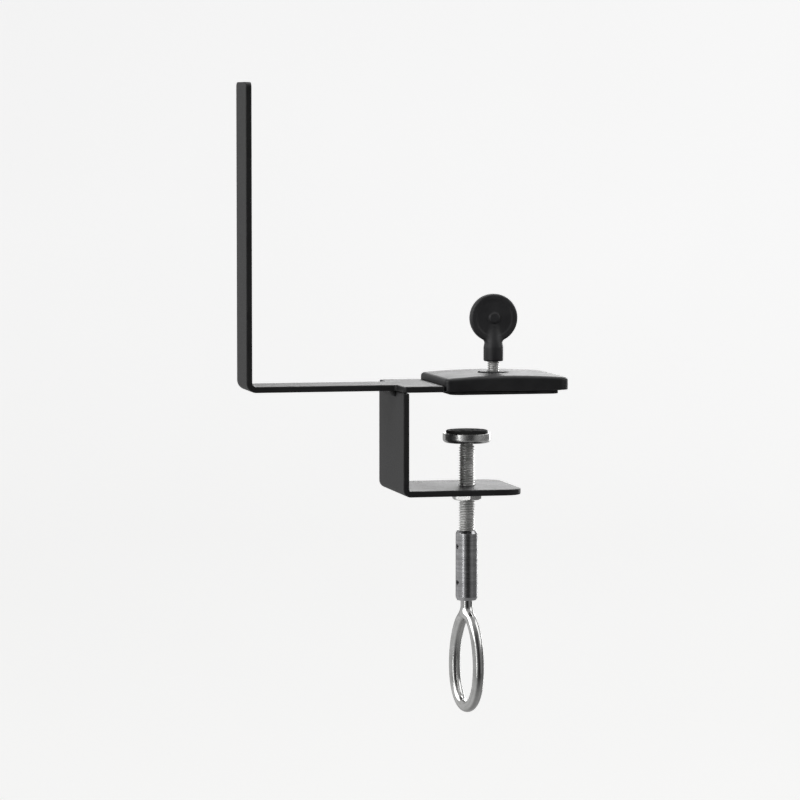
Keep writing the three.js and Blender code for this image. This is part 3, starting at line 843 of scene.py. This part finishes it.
def nuts():
    """The square nut in the cover and the hexagonal nut that three tacks weld under the lower jaw."""
    low, high = box("adjuster_nut")
    square = to_object("Adjuster_nut", nut(SQUARE_NUT_FLAT, low.z, high.z, M6[0], 4, (ADJUSTER_X, 0)))
    finish_piece(square, "frame", ZINC, ["adjuster_nut"], angle=25)
    hexagon = to_object("Weld_nut", nut(HEX_NUT_FLAT, NUT_LOW.z, NUT_HIGH.z, M8[0], 6))
    carve(hexagon, *[weld_tack(TAU * third / 3 + 0.08) for third in range(3)], operation="UNION")
    finish_piece(hexagon, "frame", ZINC, ["weld_nut"], angle=25)


# Finger screw


def adjuster_foot():
    """The swivel foot on the finger screw's tip."""
    low = ADJUSTER_FOOT_LOW.z
    high = ADJUSTER_FOOT_HIGH.z
    profile = [(0, low + 0.4, 0), (3.2, low + 0.4, 0.2), (3.8, low, 0.2), (6.5, low, 0.9), (6.5, high, 0.8)]
    profile += [(2.4, high, 0.2), (2.1, high - 0.3, 0.1), (2.1, high - 1, 0.1), (2.7, high - 1.3, 0.1)]
    profile += [(2.7, low + 0.8, 0.2), (0, low + 0.8, 0)]
    foot = to_object("Adjuster_foot", turned(profile, (ADJUSTER_X, 0), 72))
    finish_piece(foot, "adjuster_foot", FINGER, ["adjuster_foot"])


def adjuster_rod():
    """The finger screw's M6 thread and the bead at its tip."""
    low = ADJUSTER_ROD_LOW.z
    high = ADJUSTER_ROD_HIGH.z
    below = [(1.8, low + 3.2), (1.8, low + 1.6), (2.3, low + 1.4), (2.4, low + 1.1), (2.4, low + 0.5)]
    below += [(2.2, low + 0.15), (1.8, low), (0, low)]
    bm = threaded(*M6, low + 3.4, high - 0.2, below, [(1.5, high), (0, high)], (ADJUSTER_X, 0))
    rod = to_object("Finger_screw_rod", bm)
    finish_piece(rod, "adjuster_screw", FINGER_THREAD, ["adjuster_rod"], angle=40)


def rounded_distance(out, along, rounding):
    """The distance to a body with rounded edges. out and along are from its side and its ends, drawn in by
    the rounding."""
    outside = np.hypot(np.maximum(out, 0), np.maximum(along, 0))
    return outside + np.minimum(np.maximum(out, along), 0) - rounding


def drum_distance(points, centre_z, radius, half, rounding):
    """The distance to a round drum whose axis lies along Y."""
    out = np.hypot(points[:, 0] - ADJUSTER_X, points[:, 2] - centre_z) - radius + rounding
    return rounded_distance(out, np.abs(points[:, 1]) - half + rounding, rounding)


def adjuster_head():
    """The upright finger disc with its button, blended into a tapered neck."""
    disc_radius = 12
    disc_half = 2.3
    button_radius = 2.6
    button_half = disc_half + 0.65
    bottom = HEAD_LOW.z
    centre = HEAD_HIGH.z - disc_radius
    neck_top = bottom + 17

    def neck_distance(points):
        rho = np.hypot(points[:, 0] - ADJUSTER_X, points[:, 1])
        z = points[:, 2]
        radius = np.interp(z, [bottom + 7, bottom + 10, neck_top], [4.9, 4.3, 2.2])
        out = (rho - radius) * 0.96 + 0.7
        return rounded_distance(out, np.maximum(bottom + 0.7 - z, z - neck_top), 0.7)

    def distance(points):
        disc = drum_distance(points, centre, disc_radius, disc_half, 1.25)
        # A shallow dish in each face, with a rim round it
        rho = np.hypot(points[:, 0] - ADJUSTER_X, points[:, 2] - centre)
        inside = np.clip((9.6 - rho) / 1.2, 0, 1)
        dish = 0.35 * inside**2 * (3 - 2 * inside)
        near_face = np.clip((np.abs(points[:, 1]) - 1.0) / 0.6, 0, 1)
        disc = disc + dish * near_face
        button = drum_distance(points, centre, button_radius, button_half, 0.55)
        return blend_distance(blend_distance(disc, neck_distance(points), 1.6), button, 0.5)

    parts = []
    for radius, half in ((disc_radius, disc_half), (button_radius, button_half)):
        corners = [(0, -half, 0), (radius, -half, 0.5), (radius, half, 0.5), (0, half, 0)]
        bm = rotate(turned(corners), math.pi / 2, "X")
        bmesh.ops.translate(bm, verts=bm.verts, vec=(ADJUSTER_X, 0, centre))
        parts.append(to_object("Head_part", bm))
    corners = [(0, bottom, 0), (5, bottom, 0.5), (5, bottom + 7, 0), (4.4, bottom + 10, 0)]
    corners += [(2.3, neck_top, 0), (0, neck_top, 0)]
    parts.append(to_object("Neck_part", turned(corners, (ADJUSTER_X, 0))))
    head = sculpted("Finger_head", carve(*parts, operation="UNION"), distance, 0.3)
    carve(head, to_object("Bore", cylinder(3.3, bottom - 1, bottom + 7.8, (ADJUSTER_X, 0), 48)))
    finish_piece(head, "adjuster_screw", FINGER, ["adjuster_head"], angle=60, even=False)


# Clamp screw and foot

SLEEVE_RADIUS = 5.5
PIN_RADIUS = 1.25
PIN_HOLE = 1.28
PIN_GAP = math.radians(22)
STEM_RADIUS = 3
LOOP_WIRE = 2.85
LOOP_WIDTH = 28
LOOP_EGG = 0.12  # how much narrower the loop is at its top than at its middle
LOOP_TOP = -108.5


def foot_cup():
    """The pressed cup that swivels on the clamp screw's tip."""
    low = CUP_LOW.z
    high = CUP_HIGH.z
    profile = [(2.9, low, 0.15), (12, low, 2.0), (12, high, 0.35), (10.7, high, 0.35)]
    profile += [(10.7, low + 1.5, 0.9), (2.9, low + 1.5, 0.15)]
    cup = to_object("Foot_cup", turned(profile, segments=96, hollow=True, steps=8))
    finish_piece(cup, "clamp_foot", ZINC, ["foot_cup"])


def foot_pad():
    """The rubber pad in the cup, with rings on its face."""
    low = FOOT_PAD_LOW.z
    high = FOOT_PAD_HIGH.z
    profile = [(0, low + 1.6, 0), (3.7, low + 1.6, 0), (3.7, low, 0), (10.4, low, 0.2), (10.4, high, 0.7)]
    for radius in (8.2, 5.8, 3.4):
        profile += [(radius + 0.6, high, 0.15), (radius + 0.35, high - 0.45, 0.15)]
        profile += [(radius - 0.35, high - 0.45, 0.15), (radius - 0.6, high, 0.15)]
    pad = to_object("Foot_pad", turned(profile + [(0, high, 0)], segments=96))
    finish_piece(pad, "clamp_foot", RUBBER, ["foot_pad"])


def pin_height(node):
    """The height of a pin's axis."""
    low, high = box(node)
    return (low.z + high.z) / 2


def cross_hole(node):
    """A round bar along Y, to cut a pin's hole with."""
    bm = rotate(cylinder(PIN_HOLE, -8, 8, segments=32), math.pi / 2, "X")
    bmesh.ops.translate(bm, verts=bm.verts, vec=(0, 0, pin_height(node)))
    return to_object("Cross_hole", bm)


def clamp_rod():
    """The M8 clamp screw, with its turned and peened upper end."""
    low = ROD_LOW.z
    high = ROD_HIGH.z
    shoulder = CUP_LOW.z - 0.06
    above = [(3.15, shoulder - 0.9), (3.15, shoulder - 0.2), (2.95, shoulder), (2.6, shoulder)]
    above += [(2.6, high - 1), (3.4, high - 1), (3.35, high - 0.6), (2.9, high - 0.15)]
    above += [(2.2, high), (0, high)]
    below = [(2.6, low), (0, low)]
    bm = threaded(*M8, low + 0.2, shoulder - 1.2, below, above, segments=56)
    rod = to_object("Clamp_screw_rod", bm)
    finish_piece(rod, "clamp_screw", CLAMP_THREAD, ["clamp_rod"], angle=40)


def coupling_sleeve():
    """The turned sleeve that joins the rod to the loop."""
    low = SLEEVE_LOW.z
    high = SLEEVE_HIGH.z
    rod_bore = M8[0] + 0.3
    stem_bore = STEM_RADIUS + 0.3
    split = ROD_LOW.z - 0.3
    profile = [(stem_bore, low, 0.1), (4.7, low, 0.25), (SLEEVE_RADIUS, low + 1.6, 0.5)]
    profile += [(SLEEVE_RADIUS, high - 1.6, 0.5), (4.7, high, 0.25), (rod_bore, high, 0.1)]
    profile += [(rod_bore, split, 0.1), (stem_bore, split, 0.1)]
    sleeve = to_object("Coupling_sleeve", turned(profile, segments=96, hollow=True))
    carve(sleeve, cross_hole("sleeve_pin_upper"), cross_hole("sleeve_pin_lower"))
    finish_piece(sleeve, "clamp_screw", STEEL, ["coupling_sleeve"], 30, HANDLE_TURN)


def sleeve_pins():
    """Slotted spring pins, each a rolled tube with a narrow gap."""
    count = 28
    for node, name in (("sleeve_pin_upper", "Sleeve_pin_upper"), ("sleeve_pin_lower", "Sleeve_pin_lower")):
        z = pin_height(node)
        bm = bmesh.new()
        rings = []
        for y, slim in ((-5.1, 0.2), (-4.8, 0), (4.8, 0), (5.1, 0.2)):
            ring = []
            for radius, order in ((PIN_RADIUS - slim, range(count + 1)), (0.8, range(count, -1, -1))):
                for index in order:
                    turn = PIN_GAP / 2 + (TAU - PIN_GAP) * index / count
                    ring.append(bm.verts.new((radius * math.cos(turn), y, z + radius * math.sin(turn))))
            rings.append(ring)
        skin(bm, rings)
        for ring in (rings[0], rings[-1]):
            for index in range(count):
                bm.faces.new((ring[index], ring[index + 1], ring[-2 - index], ring[-1 - index]))
        piece = to_object(name, bm)
        finish_piece(piece, "clamp_screw", STEEL, [node], angle=30, turn=HANDLE_TURN)


def loop_centreline(turns):
    """Points along the middle of the loop's wire, before it is turned about the screw's axis."""
    half_width = LOOP_WIDTH / 2 - LOOP_WIRE
    half_height = (LOOP_TOP - LOOP_LOW.z) / 2 - LOOP_WIRE
    middle = (LOOP_TOP + LOOP_LOW.z) / 2
    x = half_width * np.cos(turns) * (1 - LOOP_EGG * np.sin(turns))
    return np.stack([x, np.zeros_like(turns), middle + half_height * np.sin(turns)], axis=1)


def loop_handle():
    """The egg-shaped wire loop, forged into its stem."""
    turns = np.linspace(0, TAU, 480, endpoint=False)
    starts = loop_centreline(turns)
    spans = np.roll(starts, -1, axis=0) - starts
    lengths = (spans**2).sum(axis=1)
    stem_top = LOOP_HIGH.z
    stem_bottom = LOOP_TOP - LOOP_WIRE

    def distance(points):
        best = np.full(len(points), 1e9)
        for start, span, length in zip(starts, spans, lengths):
            offset_from = points - start
            share = np.clip(offset_from @ span / length, 0, 1)
            best = np.minimum(best, ((offset_from - share[:, None] * span) ** 2).sum(axis=1))
        ring = np.sqrt(best) - LOOP_WIRE
        out = np.hypot(points[:, 0], points[:, 1]) - STEM_RADIUS + 0.6
        end = np.maximum(stem_bottom + 0.6 - points[:, 2], points[:, 2] - stem_top + 0.6)
        return blend_distance(ring, rounded_distance(out, end, 0.6), 2.6)

    bm = bmesh.new()
    sections = 96
    sides = 20
    across = Vector((0, 1, 0))
    centres = loop_centreline(np.linspace(0, TAU, sections, endpoint=False))
    rings = []
    for index, centre in enumerate(centres):
        along = Vector(centres[(index + 1) % sections] - centres[index - 1]).normalized()
        outward = Vector((along.z, 0, -along.x))
        ring = []
        for side in range(sides):
            turn = TAU * side / sides
            spoke = outward * math.cos(turn) + across * math.sin(turn)
            ring.append(bm.verts.new(Vector(centre) + LOOP_WIRE * spoke))
        rings.append(ring)
    skin(bm, rings + rings[:1])
    ring = to_object("Loop_part", bm)
    corners = [(0, stem_bottom, 0), (STEM_RADIUS, stem_bottom, 0)]
    corners += [(STEM_RADIUS, stem_top, 0.6), (0, stem_top, 0)]
    stem = to_object("Stem_part", turned(corners, segments=48))
    handle = sculpted("Loop_handle", carve(ring, stem, operation="UNION"), distance, 0.5, 3)
    carve(handle, cross_hole("sleeve_pin_lower"))
    finish_piece(handle, "clamp_screw", LOOP_ZINC, ["loop_handle"], 60, HANDLE_TURN, False)


for build in (
    post_arm_plate,
    jaw_bracket,
    web_weld_bead,
    jaw_cap,
    jaw_pad,
    cap_screws,
    nuts,
    adjuster_foot,
    adjuster_rod,
    adjuster_head,
    foot_cup,
    foot_pad,
    clamp_rod,
    coupling_sleeve,
    sleeve_pins,
    loop_handle,
):
    build()


# Stage, light and camera

CENTRE = (cad_bounds[0] + cad_bounds[1]) / 2
CAMERA_PLACE = (-0.4645, -1.925, 0.1405)
FLOOR_Z = -1.3
BASE_LIGHT = 0.045

# The sky's brighter sides: axis, side, where along the axis each starts and is full, strength
SKY_LOBES = (
    ("X", -1, 0.15, 0.95, 0.62),
    ("X", 1, 0.3, 0.95, 0.2),
    ("Y", 1, 0.2, 0.9, 0.36),
    ("Z", -1, 0.2, 0.9, 0.35),
    ("Z", 1, 0.25, 0.9, 0.5),
)

# Lamps: name, place from the clamp's middle in metres, width, watts, height
LAMPS = (
    ("Key", (-1.6, -0.5, 0.9), 1.5, 17, 1.5),
    ("Fill", (1.8, -0.5, 0.9), 1.3, 8, 1.3),
    ("Rim", (0.9, 1.7, 1.0), 1.2, 16, 1.2),
    ("Back strip", (1.5, 1.4, 0.1), 0.35, 7, 1.6),
    ("Top strip", (0.35, 0.3, 1.9), 1.7, 12, 0.5),
    ("Front strip", (-1.5, -1.3, 0.1), 0.22, 3, 1.5),
    ("Front fill", (1.3, -1.6, 0.1), 1.2, 0.8, 1.5),
    ("Back card", (0.7, 1.9, 0.4), 1.2, 3.5, 0.8),
)


def look(obj, target):
    """Turns a light or the camera towards a point."""
    obj.rotation_mode = "QUATERNION"
    obj.rotation_quaternion = (target - obj.location).to_track_quat("-Z", "Y")


def sweep_material():
    """Pale paper, a little darker on the floor than up the wall."""
    paint = Paint("Pale sweep", (0.9, 0.9, 0.9), 0, 0.8)
    height = paint.node("SeparateXYZ", {0: paint.place}).outputs["Z"]
    rise = paint.span(height, FLOOR_Z, FLOOR_Z + 1.4, smooth=True)
    pale = paint.mix(rise, (0.83, 0.83, 0.825), (0.93, 0.93, 0.93))
    mottle = paint.span(paint.noise(500, 3), 0.3, 0.7, 0.985, 1.0)
    paint.set(Base_Color=pale, Emission_Color=pale, Emission_Strength=paint.math("MULTIPLY", mottle, 0.66))
    return paint.material


def studio():
    """A pale floor that sweeps up into a pale wall all round."""
    profile = [(3.0, 0), (4.5, 0), (5.2, 0.15), (5.8, 0.6), (6.1, 1.3), (6.2, 2.2), (6.2, 5.5)]
    segments = 96
    bm = bmesh.new()
    centre = bm.verts.new((0, 0, FLOOR_Z))
    rings = []
    for radius, rise in profile:
        points = circle(radius, count=segments)
        rings.append([bm.verts.new((p.x, p.y, FLOOR_Z + rise)) for p in points])
    for index, vert in enumerate(rings[0]):
        bm.faces.new((centre, vert, rings[0][(index + 1) % segments]))
    skin(bm, rings)
    room = to_object("Studio_sweep", bm)
    room.data.shade_smooth()
    room.data.materials.append(sweep_material())
    room.visible_glossy = False
    room.visible_diffuse = False
    room.visible_shadow = False


def area_light(name, place, width, watts, height):
    """A soft lamp that faces the clamp."""
    data = bpy.data.lights.new(name, "AREA")
    data.shape = "RECTANGLE"
    data.size = width
    data.size_y = height
    data.energy = watts
    light = bpy.data.objects.new(name, data)
    scene.collection.objects.link(light)
    light.location = CENTRE + Vector(place)
    look(light, CENTRE)


def world():
    """Dim all round, brighter behind the object and to its left, as a white room lit from one side is."""
    made = bpy.data.worlds.new("Studio light")
    made.use_nodes = True
    scene.world = made
    tree = made.node_tree
    tree.nodes.clear()
    place = tree.nodes.new("ShaderNodeTexCoord")
    parts = tree.nodes.new("ShaderNodeSeparateXYZ")
    tree.links.new(place.outputs["Generated"], parts.inputs[0])

    def lobe(axis, side, start, full, strength):
        ramp = tree.nodes.new("ShaderNodeMapRange")
        ramp.interpolation_type = "SMOOTHSTEP"
        values = {"From Min": start * side, "From Max": full * side, "To Min": 0.0, "To Max": strength}
        for name, value in values.items():
            ramp.inputs[name].default_value = value
        tree.links.new(parts.outputs[axis], ramp.inputs["Value"])
        return ramp.outputs["Result"]

    total = lobe(*SKY_LOBES[0])
    for values in SKY_LOBES[1:]:
        add = tree.nodes.new("ShaderNodeMath")
        tree.links.new(total, add.inputs[0])
        tree.links.new(lobe(*values), add.inputs[1])
        total = add.outputs[0]
    base = tree.nodes.new("ShaderNodeMath")
    base.inputs[1].default_value = BASE_LIGHT
    tree.links.new(total, base.inputs[0])
    background = tree.nodes.new("ShaderNodeBackground")
    tree.links.new(base.outputs[0], background.inputs["Strength"])
    output = tree.nodes.new("ShaderNodeOutputWorld")
    tree.links.new(background.outputs[0], output.inputs[0])


studio()
world()
for lamp in LAMPS:
    area_light(*lamp)

camera_data = bpy.data.cameras.new("Camera")
camera_data.sensor_width = 36
camera_data.lens = 180
camera_data.clip_end = 50
camera = bpy.data.objects.new("Camera", camera_data)
scene.collection.objects.link(camera)
camera.location = CAMERA_PLACE
look(camera, CENTRE)
scene.camera = camera
scene.view_settings.view_transform = "Standard"
